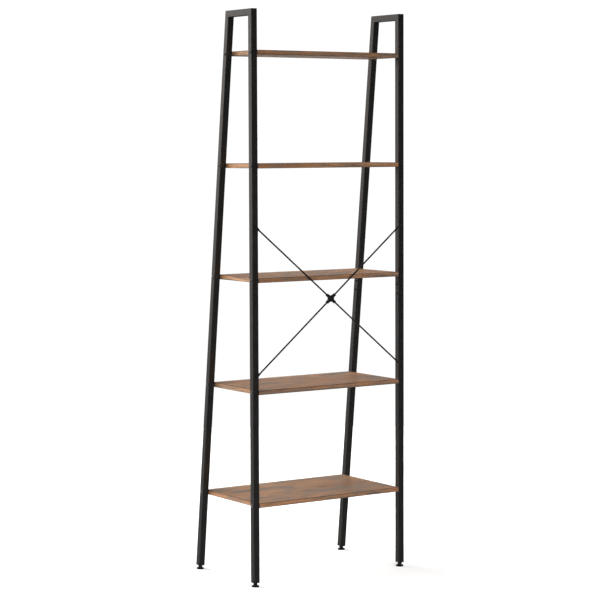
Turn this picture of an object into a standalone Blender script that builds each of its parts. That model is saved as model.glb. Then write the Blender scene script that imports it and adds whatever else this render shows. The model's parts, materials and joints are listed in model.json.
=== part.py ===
"""Five-tier ladder shelf: two bolted steel side frames, five boards, an X-brace and levelling feet."""

import math

import bmesh
import bpy
from mathutils import Matrix, Vector

# Driving dimensions in metres. X runs along the boards, -Y is the front and +Z is up.
WIDTH = 0.556  # over the outer faces of the two side frames
HEIGHT = 1.720
TOP_DEPTH = 0.1455  # side frame from front to rear, at its top
LEAN = 0.1136  # forward run of a front post for each unit of drop
GAP = 0.0003  # left between pieces that touch

# Square steel tube
TUBE = 0.020
TUBE_WALL = 0.0012
TUBE_CORNER = 0.0018
BORE_CORNER = 0.0008
CORNER_STEPS = 2
POST_FOOT_Z = 0.0128  # centre of a post's lower end above the floor
END_PLATE = 0.003  # nut plate welded into a post's lower end

# Joint between the upper and the lower half of a post
SEAM_Z = 0.872
SLEEVE_LENGTH = 0.070
SLEEVE_WALL = 0.0015
SPLICE_SCREW_OFFSET = 0.014  # each side of the seam, along the post

# Boards, named from the bottom up
SHELF_TOPS = (0.252, 0.591, 0.925, 1.264, 1.599)
SHELF_THICKNESS = 0.014
SHELF_FRONT_INSET = 0.004  # behind the front faces of the front posts
SHELF_EDGE_ROUND = 0.0007
SHELF_EDGE_STEPS = 2

# Bolts that run through the posts into the ends of the boards
BOLT_RADIUS = 0.003
BOLT_GRIP = 0.0355  # from under the head to the tip
BOLT_HEAD_RADIUS = 0.0053
BOLT_HEAD_HEIGHT = 0.0030
SOCKET_ACROSS_FLATS = 0.004
SOCKET_DEPTH = 0.0018
BOLT_BORE_DEPTH = 0.017  # in a board's end

# Pan-head screws of the splices and the brace
SCREW_RADIUS = 0.002
SCREW_LENGTH = 0.007
SCREW_HEAD_RADIUS = 0.0040
SCREW_HEAD_HEIGHT = 0.0022
SLOT_LENGTH = 0.0044
SLOT_WIDTH = 0.0010
SLOT_DEPTH = 0.0009
BORE_CLEARANCE = 0.0003
DOME_STEPS = 3  # from the crown of a bolt's or screw's head to its rim

# X-brace behind the boards
BRACE_TOP_Z = 1.0763
BRACE_BOTTOM_Z = 0.6317
ROD_RADIUS = 0.0025
TAB_THICKNESS = 0.0015
TAB_RADIUS = 0.0055
TAB_SWEEP = math.radians(100)  # of the round end about the screw, each way
TAB_STEPS = 10
TAB_NECK = 0.017  # from the screw to where the round rod begins
TAB_NECK_HALF_WIDTH = 0.0018
ROD_IN_TAB = 0.0060  # length of round rod that overlaps the tab
HUB_TIP_RADIUS = 0.0195
HUB_TIP_HALF_WIDTH = 0.0040
HUB_WAIST_RADIUS = 0.0094
HUB_THICKNESS = 0.0090
HUB_EDGE_ROUND = 0.0008
HUB_EDGE_STEPS = 1
HUB_BOSS_RADIUS = 0.0060
HUB_BOSS_HEIGHT = 0.0012
HUB_CURVE_STEPS = 6
ROD_IN_HUB = 0.0085  # length of rod held in each hub socket

# Levelling feet
PAD_RADIUS = 0.0115
PAD_RIM = 0.0040
PAD_ROUND = 0.0008
PAD_HEIGHT = 0.0050
PAD_TOP_RADIUS = 0.0075
BALL_Z = 0.0042
BALL_RADIUS = 0.0028
BALL_STEPS = 4
SOCKET_RADIUS = BALL_RADIUS + GAP
SOCKET_FLOOR = 0.0010
STEM_NECK_RADIUS = 0.0019
STEM_RADIUS = 0.0040
STEM_TOP = 0.034  # above the ball, inside the post
STEM_TIP_RADIUS = 0.0032
STEM_TIP_CHAMFER = 0.0010
COLLAR_START = 0.0020  # above the ball
COLLAR_HEIGHT = 0.0063
COLLAR_ACROSS_FLATS = 0.012

ROUND_STEPS = 12  # facets round a bolt, screw or rod
PAD_STEPS = 24
BORE_SPARE = 0.020  # that a cutter runs on past what it cuts
SMOOTH_ANGLE = math.radians(35)
FLAT_ANGLE = math.radians(0.5)
WELD = 1e-6

# Derived from the driving dimensions
LEAN_ANGLE = math.atan(LEAN)
TUBE_RUN = TUBE / math.cos(LEAN_ANGLE)  # depth of a leaning tube on a level cut
HALF_TUBE = TUBE / 2
FRAME_X = WIDTH / 2 - HALF_TUBE  # centre plane of a side frame
BOARD_HALF = WIDTH / 2 - TUBE - GAP
BRACE_MID_Z = (BRACE_TOP_Z + BRACE_BOTTOM_Z) / 2
BRACE_HALF_HEIGHT = (BRACE_TOP_Z - BRACE_BOTTOM_Z) / 2
BRACE_ANGLE = math.atan2(BRACE_HALF_HEIGHT, FRAME_X)
ROD_BEHIND = ROD_RADIUS + GAP  # rod axis behind the rear plane
HUB_BEHIND = ROD_BEHIND + HUB_THICKNESS / 2 + HUB_BOSS_HEIGHT
SCREW_BORE = SCREW_RADIUS + BORE_CLEARANCE
BOLT_BORE = BOLT_RADIUS + BORE_CLEARANCE


def front_face_depth(z):
    """Depth of a front post's front face, measured forward from the rear plane."""
    return TOP_DEPTH + LEAN * (HEIGHT - z)


def front_axis_depth(z):
    return front_face_depth(z) - TUBE_RUN / 2


FRONT_REACH = front_axis_depth(BALL_Z) + PAD_RADIUS
REAR_Y = (FRONT_REACH - HUB_BEHIND) / 2  # rear plane of the frames, with the whole object centred on Y

SIDES = {"left": -1, "right": 1}
POSTS = ("front", "rear")

parts = None
cutters = None


def clear_scene():
    for old in list(bpy.data.objects):
        bpy.data.objects.remove(old, do_unlink=True)


def new_collection(name):
    made = bpy.data.collections.new(name)
    bpy.context.scene.collection.children.link(made)
    return made


def painted(name, color, roughness, metallic):
    material = bpy.data.materials.new(name)
    material.use_nodes = True
    shader = material.node_tree.nodes["Principled BSDF"]
    shader.inputs["Base Color"].default_value = (*color, 1.0)
    shader.inputs["Roughness"].default_value = roughness
    shader.inputs["Metallic"].default_value = metallic
    return material


def make_materials():
    return {
        "steel": painted("powder_coated_steel", (0.030, 0.029, 0.028), 0.45, 0.0),
        "board": painted("rustic_brown_laminate", (0.30, 0.21, 0.155), 0.55, 0.0),
        "fastener": painted("black_zinc", (0.035, 0.035, 0.036), 0.35, 0.8),
        "plastic": painted("black_plastic", (0.018, 0.018, 0.018), 0.5, 0.0),
    }


def add_object(name, mesh, collection, matrix=None):
    made = bpy.data.objects.new(name, mesh)
    collection.objects.link(made)
    if matrix is not None:
        made.matrix_world = matrix
    return made


def add_part(name, mesh, material, matrix=None):
    if not mesh.materials:
        mesh.materials.append(material)
    return add_object(name, mesh, parts, matrix)


def add_cutter(name, mesh, matrix=None):
    made = add_object(name, mesh, cutters, matrix)
    made.hide_render = True
    made.display_type = "WIRE"
    return made


def boolean(target, other, operation="DIFFERENCE"):
    modifier = target.modifiers.new(f"{operation.lower()} {other.name}", "BOOLEAN")
    modifier.operation = operation
    modifier.object = other
    modifier.solver = "EXACT"


def bevel(target, width, segments):
    modifier = target.modifiers.new("rounded edges", "BEVEL")
    modifier.width = width
    modifier.segments = segments
    modifier.limit_method = "ANGLE"


def baked(source):
    """The evaluated mesh of an object, as a mesh of its own. The object is removed."""
    bpy.context.view_layer.update()
    graph = bpy.context.evaluated_depsgraph_get()
    mesh = bpy.data.meshes.new_from_object(source.evaluated_get(graph))
    bpy.data.objects.remove(source, do_unlink=True)
    return mesh


def welded(mesh):
    """The mesh with its loose caps joined to its sides and its flat faces made whole."""
    work = bmesh.new()
    work.from_mesh(mesh)
    bmesh.ops.remove_doubles(work, verts=work.verts, dist=WELD)
    bmesh.ops.dissolve_limit(work, angle_limit=FLAT_ANGLE, verts=work.verts, edges=work.edges)
    bmesh.ops.recalc_face_normals(work, faces=work.faces)
    work.to_mesh(mesh)
    work.free()
    return mesh


def plate_mesh(name, outline, thickness):
    """A flat outline in XY, extruded to a thickness centred on Z = 0."""
    curve = bpy.data.curves.new(name, "CURVE")
    curve.dimensions = "2D"
    curve.fill_mode = "BOTH"
    curve.extrude = thickness / 2
    spline = curve.splines.new("POLY")
    spline.points.add(len(outline) - 1)
    for point, (x, y) in zip(spline.points, outline):
        point.co = (x, y, 0, 1)
    spline.use_cyclic_u = True
    mesh = welded(baked(add_object(name, curve, cutters)))
    mesh.name = name
    return mesh


def arc(center, radius, start, end, steps):
    points = []
    for step in range(steps + 1):
        angle = start + (end - start) * step / steps
        points.append((center[0] + radius * math.cos(angle), center[1] + radius * math.sin(angle)))
    return points


def rounded_square(side, corner):
    inner = side / 2 - corner
    outline = []
    for turn, (sx, sy) in enumerate(((1, 1), (-1, 1), (-1, -1), (1, -1))):
        start = turn * math.pi / 2
        outline += arc((sx * inner, sy * inner), corner, start, start + math.pi / 2, CORNER_STEPS)
    return outline


def bar_mesh(name, side, corner, length):
    return plate_mesh(name, rounded_square(side, corner), length)


def cylinder_mesh(name, radius, length, steps=ROUND_STEPS):
    """A cylinder on Z, centred on the origin."""
    mesh = bpy.data.meshes.new(name)
    work = bmesh.new()
    bmesh.ops.create_cone(
        work, cap_ends=True, segments=steps, radius1=radius, radius2=radius, depth=length
    )
    work.to_mesh(mesh)
    work.free()
    return mesh


def box_mesh(name, size):
    mesh = bpy.data.meshes.new(name)
    work = bmesh.new()
    bmesh.ops.create_cube(work, size=1, matrix=Matrix.Diagonal((*size, 1)))
    work.to_mesh(mesh)
    work.free()
    return mesh


def turned_object(name, profile, steps):
    """A solid turned about Z from (radius, z) points that run from top to bottom."""
    mesh = bpy.data.meshes.new(name)
    work = bmesh.new()
    corners = [work.verts.new((radius, 0, z)) for radius, z in profile]
    for start, end in zip(corners, corners[1:]):
        work.edges.new((start, end))
    work.to_mesh(mesh)
    work.free()
    made = add_object(name, mesh, cutters)
    screw = made.modifiers.new("turn", "SCREW")
    screw.steps = steps
    screw.render_steps = steps
    screw.use_merge_vertices = True
    screw.merge_threshold = WELD
    return made


def smooth(mesh):
    mesh.shade_smooth()
    mesh.set_sharp_from_angle(angle=SMOOTH_ANGLE)
    return mesh


def frame_matrix(x, depth, z, axis_z, axis_x=(1, 0, 0)):
    """A placement whose local Z points along axis_z, at a depth in front of the rear plane."""
    along = Vector(axis_z).normalized()
    side = Vector(axis_x)
    side = (side - along * side.dot(along)).normalized()
    turn = Matrix((side, along.cross(side), along)).transposed()
    return Matrix.Translation((x, REAR_Y - depth, z)) @ turn.to_4x4()


def post_up(post):
    """Unit vector up a post."""
    if post == "rear":
        return Vector((0, 0, 1))
    return Vector((0, math.sin(LEAN_ANGLE), math.cos(LEAN_ANGLE)))


def post_axis_depth(post, z):
    return HALF_TUBE if post == "rear" else front_axis_depth(z)


def on_post(side, post, z, along=0.0):
    """The placement on a post's axis at height z, moved along the post, with local Z up the post."""
    base = frame_matrix(SIDES[side] * FRAME_X, post_axis_depth(post, z), z, post_up(post))
    return base @ Matrix.Translation((0, 0, along))


def across_post(side, post, z, along=0.0, inward=True):
    """As on_post, with local Z pointing across the post, towards the middle or away from it."""
    place = on_post(side, post, z, along)
    turn = -SIDES[side] if inward else SIDES[side]
    return place @ Matrix.Rotation(turn * math.pi / 2, 4, "Y")


def shelf_bolt_z(shelf):
    return SHELF_TOPS[shelf] - SHELF_THICKNESS / 2


def u_frame_outline(low):
    """Side view of an upper frame as (depth, height) points, with legs that end at low."""
    under = HEIGHT - TUBE
    return [
        (0, low),
        (0, HEIGHT),
        (TOP_DEPTH, HEIGHT),
        (front_face_depth(low), low),
        (front_face_depth(low) - TUBE_RUN, low),
        (front_face_depth(under) - TUBE_RUN, under),
        (TUBE, under),
        (TUBE, low),
    ]


def side_view_matrix(x):
    """Turns an outline drawn as (depth, height) upright, in the plane of a side frame."""
    turn = Matrix(((0, 0, -1), (-1, 0, 0), (0, 1, 0)))
    return Matrix.Translation((x, REAR_Y, 0)) @ turn.to_4x4()


def shelves_on(upper):
    """Indices of the boards bolted to the upper frames, or to the lower posts."""
    return [i for i in range(len(SHELF_TOPS)) if (shelf_bolt_z(i) > SEAM_Z) == upper]


def cut_bolt_bores(target, side, posts, upper):
    for post in posts:
        for shelf in shelves_on(upper):
            bore = cylinder_mesh("bolt_bore", BOLT_BORE, TUBE * 2)
            place = across_post(side, post, shelf_bolt_z(shelf))
            boolean(target, add_cutter(f"bore_{target.name}_{post}_{shelf + 1}", bore, place))


def cut_splice_bore(target, side, post, upper):
    """The screw hole through the inner wall, above or below the seam."""
    offset = SPLICE_SCREW_OFFSET if upper else -SPLICE_SCREW_OFFSET
    place = across_post(side, post, SEAM_Z, offset) @ Matrix.Translation((0, 0, HALF_TUBE))
    hole = cylinder_mesh("splice_bore", SCREW_BORE, HALF_TUBE)
    boolean(target, add_cutter(f"splice_bore_{target.name}_{post}", hole, place))


def cut_brace_bore(target, side, z):
    """The screw hole through a rear post's rear wall."""
    place = frame_matrix(SIDES[side] * FRAME_X, 0, z, (0, 1, 0))
    hole = cylinder_mesh("brace_bore", SCREW_BORE, HALF_TUBE)
    boolean(target, add_cutter(f"brace_bore_{target.name}", hole, place))


def make_upper_frame(side, material):
    """The welded upside-down U: two half posts and the top rail, hollow all the way round."""
    blank = plate_mesh(f"upper_frame_{side}", u_frame_outline(SEAM_Z - BORE_SPARE / 2), TUBE)
    frame = add_part(f"upper_frame_{side}", blank, material, side_view_matrix(SIDES[side] * FRAME_X))
    bevel(frame, TUBE_CORNER, CORNER_STEPS)
    bore_side = TUBE - 2 * TUBE_WALL
    for post in POSTS:
        offcut = box_mesh("offcut", (TUBE * 2, TUBE * 2, BORE_SPARE * 2))
        place = on_post(side, post, SEAM_Z, GAP / 2 - BORE_SPARE)
        boolean(frame, add_cutter(f"offcut_{side}_{post}", offcut, place))
        length = (HEIGHT - HALF_TUBE - SEAM_Z) / post_up(post).z + BORE_SPARE
        bore = bar_mesh("post_bore", bore_side, BORE_CORNER, length)
        place = on_post(side, post, SEAM_Z, length / 2 - BORE_SPARE)
        boolean(frame, add_cutter(f"post_bore_{side}_{post}", bore, place))
    rail_length = TOP_DEPTH - TUBE
    rail_bore = bar_mesh("rail_bore", bore_side, BORE_CORNER, rail_length)
    place = frame_matrix(SIDES[side] * FRAME_X, TOP_DEPTH / 2, HEIGHT - HALF_TUBE, (0, 1, 0))
    boolean(frame, add_cutter(f"rail_bore_{side}", rail_bore, place))
    cut_bolt_bores(frame, side, POSTS, True)
    for post in POSTS:
        cut_splice_bore(frame, side, post, True)
    cut_brace_bore(frame, side, BRACE_TOP_Z)


def make_lower_post(side, post, material):
    """A half post with a nut plate across its lower end."""
    rise = post_up(post).z
    length = (SEAM_Z - POST_FOOT_Z) / rise - GAP / 2
    blank = bar_mesh(f"lower_post_{post}_{side}", TUBE, TUBE_CORNER, length)
    place = on_post(side, post, POST_FOOT_Z, length / 2)
    made = add_part(f"lower_post_{post}_{side}", blank, material, place)
    bore = bar_mesh("post_bore", TUBE - 2 * TUBE_WALL, BORE_CORNER, length)
    above_plate = place @ Matrix.Translation((0, 0, END_PLATE))
    boolean(made, add_cutter(f"lower_bore_{post}_{side}", bore, above_plate))
    hole = cylinder_mesh("stem_bore", STEM_RADIUS + BORE_CLEARANCE, END_PLATE * 4, PAD_STEPS // 2)
    boolean(made, add_cutter(f"stem_bore_{post}_{side}", hole, on_post(side, post, POST_FOOT_Z)))
    cut_bolt_bores(made, side, (post,), False)
    cut_splice_bore(made, side, post, False)
    if post == "rear":
        cut_brace_bore(made, side, BRACE_BOTTOM_Z)


def make_sleeve(side, post, material):
    """The square sleeve inside the seam of a post."""
    outer = TUBE - 2 * TUBE_WALL - 2 * GAP
    blank = bar_mesh(f"splice_sleeve_{post}_{side}", outer, BORE_CORNER, SLEEVE_LENGTH)
    made = add_part(f"splice_sleeve_{post}_{side}", blank, material, on_post(side, post, SEAM_Z))
    bore = bar_mesh("sleeve_bore", outer - 2 * SLEEVE_WALL, BORE_CORNER, SLEEVE_LENGTH * 2)
    boolean(made, add_cutter(f"sleeve_bore_{post}_{side}", bore, on_post(side, post, SEAM_Z)))
    for end, offset in (("upper", SPLICE_SCREW_OFFSET), ("lower", -SPLICE_SCREW_OFFSET)):
        hole = cylinder_mesh("sleeve_screw_bore", SCREW_BORE, HALF_TUBE)
        place = across_post(side, post, SEAM_Z, offset) @ Matrix.Translation((0, 0, HALF_TUBE))
        boolean(made, add_cutter(f"sleeve_screw_bore_{post}_{side}_{end}", hole, place))


def make_shelf(index, material):
    """A board with a bore in each end for every bolt."""
    top = SHELF_TOPS[index]
    depth = front_face_depth(top) - SHELF_FRONT_INSET
    name = f"shelf_{index + 1}"
    place = Matrix.Translation((0, REAR_Y - depth / 2, top - SHELF_THICKNESS / 2))
    board = add_part(name, box_mesh(name, (BOARD_HALF * 2, depth, SHELF_THICKNESS)), material, place)
    bevel(board, SHELF_EDGE_ROUND, SHELF_EDGE_STEPS)
    for side in SIDES:
        for post in POSTS:
            bore = cylinder_mesh("board_bore", BOLT_BORE, BOLT_BORE_DEPTH * 2)
            place = across_post(side, post, shelf_bolt_z(index))
            place = place @ Matrix.Translation((0, 0, HALF_TUBE + GAP))
            boolean(board, add_cutter(f"board_bore_{index + 1}_{post}_{side}", bore, place))


def dome(radius, height):
    """Profile of a rounded head as (radius, z) points, from its crown to its rim on Z = 0."""
    points = []
    for step in range(DOME_STEPS + 1):
        angle = step / DOME_STEPS * math.pi / 2
        points.append((radius * math.sin(angle), height * math.cos(angle)))
    return points


def bolt_mesh():
    """A button-head bolt with a hexagon socket, its head above Z = 0 and its shank below."""
    profile = dome(BOLT_HEAD_RADIUS, BOLT_HEAD_HEIGHT) + [
        (BOLT_RADIUS, 0),
        (BOLT_RADIUS, -BOLT_GRIP),
        (0, -BOLT_GRIP),
    ]
    bolt = turned_object("shelf_bolt", profile, ROUND_STEPS)
    radius = SOCKET_ACROSS_FLATS / math.sqrt(3)
    hexagon = cylinder_mesh("hexagon", radius, SOCKET_DEPTH * 2, 6)
    boolean(bolt, add_cutter("hexagon_socket", hexagon, Matrix.Translation((0, 0, BOLT_HEAD_HEIGHT))))
    return smooth(baked(bolt))


def screw_mesh():
    """A pan-head screw with a cross slot, its head above Z = 0 and its shank below."""
    profile = dome(SCREW_HEAD_RADIUS, SCREW_HEAD_HEIGHT) + [
        (SCREW_RADIUS, 0),
        (SCREW_RADIUS, -SCREW_LENGTH),
        (0, -SCREW_LENGTH),
    ]
    screw = turned_object("pan_head_screw", profile, ROUND_STEPS)
    for turn in (0, math.pi / 2):
        slot = box_mesh("slot", (SLOT_LENGTH, SLOT_WIDTH, SLOT_DEPTH * 2))
        place = Matrix.Translation((0, 0, SCREW_HEAD_HEIGHT)) @ Matrix.Rotation(turn, 4, "Z")
        boolean(screw, add_cutter("cross_slot", slot, place))
    return smooth(baked(screw))


def place_bolts(mesh, material):
    seat = Matrix.Translation((0, 0, HALF_TUBE + GAP))
    for shelf in range(len(SHELF_TOPS)):
        for side in SIDES:
            for post in POSTS:
                place = across_post(side, post, shelf_bolt_z(shelf), inward=False) @ seat
                add_part(f"shelf_bolt_{shelf + 1}_{post}_{side}", mesh, material, place)


def place_splice_screws(mesh, material):
    seat = Matrix.Translation((0, 0, HALF_TUBE + GAP))
    for side in SIDES:
        for post in POSTS:
            for end, offset in (("upper", SPLICE_SCREW_OFFSET), ("lower", -SPLICE_SCREW_OFFSET)):
                place = across_post(side, post, SEAM_Z, offset) @ seat
                add_part(f"splice_screw_{post}_{side}_{end}", mesh, material, place)


def place_brace_screws(mesh, material):
    behind = 2 * GAP + TAB_THICKNESS
    for end, z in (("upper", BRACE_TOP_Z), ("lower", BRACE_BOTTOM_Z)):
        for side, sign in SIDES.items():
            place = frame_matrix(sign * FRAME_X, -behind, z, (0, 1, 0))
            add_part(f"brace_screw_{end}_{side}", mesh, material, place)


def brace_frame(side_sign, end_sign):
    """A placement at the hub's centre with local X out along one rod and local Z to the rear."""
    along = Vector((side_sign * math.cos(BRACE_ANGLE), 0, end_sign * math.sin(BRACE_ANGLE)))
    return frame_matrix(0, -ROD_BEHIND, BRACE_MID_Z, (0, 1, 0), along)


def tab_outline(reach):
    """The pressed-flat end of a rod, round about the screw at reach."""
    outline = arc((reach, 0), TAB_RADIUS, -TAB_SWEEP, TAB_SWEEP, TAB_STEPS)
    outline.append((reach - TAB_NECK, TAB_NECK_HALF_WIDTH))
    outline.append((reach - TAB_NECK, -TAB_NECK_HALF_WIDTH))
    return outline


def rod_mesh():
    """One brace rod along X, from the hub's centre at the origin out to its screw hole."""
    reach = math.hypot(FRAME_X, BRACE_HALF_HEIGHT)
    start = HUB_TIP_RADIUS - ROD_IN_HUB
    end = reach - TAB_NECK + ROD_IN_TAB
    place = Matrix.Translation(((start + end) / 2, 0, 0)) @ Matrix.Rotation(math.pi / 2, 4, "Y")
    rod = add_object("rod", cylinder_mesh("rod", ROD_RADIUS, end - start), cutters, place)
    tab_center = GAP + TAB_THICKNESS / 2 - ROD_BEHIND
    tab = add_cutter("tab", plate_mesh("tab", tab_outline(reach), TAB_THICKNESS))
    tab.matrix_world = Matrix.Translation((0, 0, tab_center))
    hole = add_cutter("tab_hole", cylinder_mesh("tab_hole", SCREW_BORE, TUBE))
    hole.matrix_world = Matrix.Translation((reach, 0, 0))
    boolean(rod, tab, "UNION")
    boolean(rod, hole)
    bpy.context.view_layer.update()
    world = rod.matrix_world.copy()
    mesh = baked(rod)
    mesh.transform(world)
    return smooth(mesh)


def hub_outline():
    """A four-pointed star whose arms lie along the rods, with hollow sides between them."""
    turns = (BRACE_ANGLE, math.pi - BRACE_ANGLE, math.pi + BRACE_ANGLE, 2 * math.pi - BRACE_ANGLE)
    outline = []
    for index, turn in enumerate(turns):
        following = turns[(index + 1) % len(turns)] + (2 * math.pi if index == len(turns) - 1 else 0)
        tip = Vector((math.cos(turn), math.sin(turn))) * HUB_TIP_RADIUS
        next_tip = Vector((math.cos(following), math.sin(following))) * HUB_TIP_RADIUS
        start = tip + Vector((-math.sin(turn), math.cos(turn))) * HUB_TIP_HALF_WIDTH
        end = next_tip + Vector((math.sin(following), -math.cos(following))) * HUB_TIP_HALF_WIDTH
        middle = (turn + following) / 2
        waist = Vector((math.cos(middle), math.sin(middle))) * HUB_WAIST_RADIUS
        pull = 2 * waist - (start + end) / 2
        for step in range(HUB_CURVE_STEPS + 1):
            t = step / HUB_CURVE_STEPS
            point = start * (1 - t) ** 2 + pull * 2 * t * (1 - t) + end * t**2
            outline.append(tuple(point))
    return outline


def make_hub(material):
    """The moulded star in the middle of the brace, with a blind socket for each rod."""
    place = frame_matrix(0, -ROD_BEHIND, BRACE_MID_Z, (0, 1, 0))
    hub = add_part("brace_hub", plate_mesh("brace_hub", hub_outline(), HUB_THICKNESS), material, place)
    bevel(hub, HUB_EDGE_ROUND, HUB_EDGE_STEPS)
    boss = cylinder_mesh("hub_boss", HUB_BOSS_RADIUS, HUB_THICKNESS, PAD_STEPS // 2)
    lift = Matrix.Translation((0, 0, HUB_BOSS_HEIGHT))
    boolean(hub, add_cutter("hub_boss", boss, place @ lift), "UNION")
    socket_start = HUB_TIP_RADIUS - ROD_IN_HUB - GAP
    socket_length = ROD_IN_HUB * 2
    for side, side_sign in SIDES.items():
        for end, end_sign in (("upper", 1), ("lower", -1)):
            hole = cylinder_mesh("rod_socket", ROD_RADIUS + BORE_CLEARANCE, socket_length)
            shift = Matrix.Translation((socket_start + socket_length / 2, 0, 0))
            turn = Matrix.Rotation(math.pi / 2, 4, "Y")
            socket = brace_frame(side_sign, end_sign) @ shift @ turn
            boolean(hub, add_cutter(f"rod_socket_{end}_{side}", hole, socket))
    smooth(hub.data)


def place_rods(mesh, material):
    for end, end_sign in (("upper", 1), ("lower", -1)):
        for side, side_sign in SIDES.items():
            add_part(f"brace_rod_{end}_{side}", mesh, material, brace_frame(side_sign, end_sign))


def pad_mesh():
    """A levelling foot's pad on Z = 0, with an open socket for the stem's ball."""
    profile = [
        (0, SOCKET_FLOOR),
        (SOCKET_RADIUS, SOCKET_FLOOR),
        (SOCKET_RADIUS, PAD_HEIGHT),
        (PAD_TOP_RADIUS, PAD_HEIGHT),
        (PAD_RADIUS - PAD_ROUND, PAD_RIM),
        (PAD_RADIUS, PAD_RIM - PAD_ROUND),
        (PAD_RADIUS, PAD_ROUND),
        (PAD_RADIUS - PAD_ROUND, 0),
        (0, 0),
    ]
    return smooth(baked(turned_object("foot_pad", profile, PAD_STEPS)))


def stem_mesh():
    """A levelling foot's stem with its ball centred on the origin, below a hexagon collar."""
    collar_middle = COLLAR_START + COLLAR_HEIGHT / 2
    profile = [
        (0, STEM_TOP),
        (STEM_TIP_RADIUS, STEM_TOP),
        (STEM_RADIUS, STEM_TOP - STEM_TIP_CHAMFER),
        (STEM_RADIUS, collar_middle),
        (STEM_NECK_RADIUS, collar_middle),
    ]
    neck_angle = math.asin(STEM_NECK_RADIUS / BALL_RADIUS)
    for step in range(BALL_STEPS):
        angle = neck_angle + (math.pi - neck_angle) * step / BALL_STEPS
        profile.append((BALL_RADIUS * math.sin(angle), BALL_RADIUS * math.cos(angle)))
    profile.append((0, -BALL_RADIUS))
    stem = turned_object("foot_stem", profile, ROUND_STEPS)
    radius = COLLAR_ACROSS_FLATS / math.sqrt(3)
    collar = cylinder_mesh("collar", radius, COLLAR_HEIGHT, 6)
    place = Matrix.Translation((0, 0, collar_middle))
    boolean(stem, add_cutter("hexagon_collar", collar, place), "UNION")
    return smooth(baked(stem))


def place_feet(pad, stem, materials):
    for side, sign in SIDES.items():
        for post in POSTS:
            depth = post_axis_depth(post, BALL_Z)
            under = Matrix.Translation((sign * FRAME_X, REAR_Y - depth, 0))
            add_part(f"foot_pad_{post}_{side}", pad, materials["plastic"], under)
            add_part(f"foot_stem_{post}_{side}", stem, materials["fastener"], on_post(side, post, BALL_Z))


def main():
    global parts, cutters
    clear_scene()
    parts = new_collection("ladder_shelf")
    cutters = new_collection("cutters")
    materials = make_materials()
    for index in range(len(SHELF_TOPS)):
        make_shelf(index, materials["board"])
    for side in SIDES:
        make_upper_frame(side, materials["steel"])
        for post in POSTS:
            make_lower_post(side, post, materials["steel"])
            make_sleeve(side, post, materials["steel"])
    place_bolts(bolt_mesh(), materials["fastener"])
    screw = screw_mesh()
    place_splice_screws(screw, materials["fastener"])
    place_brace_screws(screw, materials["fastener"])
    make_hub(materials["plastic"])
    place_rods(rod_mesh(), materials["steel"])
    place_feet(pad_mesh(), stem_mesh(), materials)


main()
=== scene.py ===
"""Looks for the five-tier ladder shelf: camera, studio light, finishes and the finely made pieces."""

import json
import math

import bmesh
import bpy
from mathutils import Matrix, Vector

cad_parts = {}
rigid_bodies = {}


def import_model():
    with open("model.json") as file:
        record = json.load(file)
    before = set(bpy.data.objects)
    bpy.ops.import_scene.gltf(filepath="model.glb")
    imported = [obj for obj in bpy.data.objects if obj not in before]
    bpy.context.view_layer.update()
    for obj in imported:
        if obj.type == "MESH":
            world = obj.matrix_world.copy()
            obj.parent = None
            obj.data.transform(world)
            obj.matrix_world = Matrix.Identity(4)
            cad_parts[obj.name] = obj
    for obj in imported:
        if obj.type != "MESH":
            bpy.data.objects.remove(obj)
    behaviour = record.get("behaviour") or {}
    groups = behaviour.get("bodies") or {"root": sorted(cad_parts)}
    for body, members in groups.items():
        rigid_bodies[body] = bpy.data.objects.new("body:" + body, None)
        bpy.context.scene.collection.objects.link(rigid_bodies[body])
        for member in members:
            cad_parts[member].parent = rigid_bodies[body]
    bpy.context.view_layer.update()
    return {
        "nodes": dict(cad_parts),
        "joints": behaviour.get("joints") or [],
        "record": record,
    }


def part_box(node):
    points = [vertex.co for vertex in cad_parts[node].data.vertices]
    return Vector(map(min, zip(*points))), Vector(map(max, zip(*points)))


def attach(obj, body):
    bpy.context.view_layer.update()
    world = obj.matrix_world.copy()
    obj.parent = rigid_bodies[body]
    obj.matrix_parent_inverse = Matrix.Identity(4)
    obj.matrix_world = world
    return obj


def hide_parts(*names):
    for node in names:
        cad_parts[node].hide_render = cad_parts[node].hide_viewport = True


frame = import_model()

# Camera
CAMERA_YAW = math.radians(33.718)  # away from looking straight at the rear
CAMERA_PITCH = math.radians(3.789)  # downward
CAMERA_ROLL = -0.00373  # radians
CAMERA_ASIDE = 3.5275  # along +X
CAMERA_BEHIND = 5.1207  # behind the frames' rear plane
CAMERA_HEIGHT = 1.3252
SENSOR = 36.0
LENS = 123.35  # mm
LENS_SHIFT = -0.035  # of the sensor's width
CLIP_START = 0.05
CLIP_END = 200

# Studio
LIGHTS = {  # strength, then width, lean from straight above towards -Y, and turn towards +X in degrees
    "overhead": (1.1, 150, 0, 0),
    "front": (5.3, 64, 60, 42),
    "rear": (2.8, 64, -62, 0),
}
KEY_SIDE = (0.208, -0.978, 0.0)  # direction of the large warm screen
KEY_EDGE = (0.79, 1.0)  # cosine to KEY_SIDE over which the screen fades in
KEY_FOOT = (-0.22, 0.14)  # sine of the elevation over which it fades in
KEY_COLOR = (1.0, 0.89, 0.81)
KEY_STRENGTH = 2.6
ROOM_COLOR = (0.98, 0.99, 1.0)
ROOM_EDGE = (-0.35, 0.45)  # cosine to -Y from the dim half of the room to the pale half
ROOM_DIM = 0.03
ROOM_PALE = 0.21
GLOW_STRENGTH = 0.15  # from the far floor, below the horizon
GLOW_FOOT = (0.02, -0.30)  # sines of the elevations between which it fades in
BACKDROP_STRENGTH = 1.04  # just past white, for the camera only
FLOOR_RADIUS = 3.2
FLOOR_STEPS = 96
FLOOR_COLOR = (0.95, 0.95, 0.95, 1)
FLOOR_ROUGHNESS = 0.9
FLOOR_SPECULAR = 0.1

SIDES = {"left": -1, "right": 1}
POSTS = ("front", "rear")
GAP = 0.0003  # between pieces that touch

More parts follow.
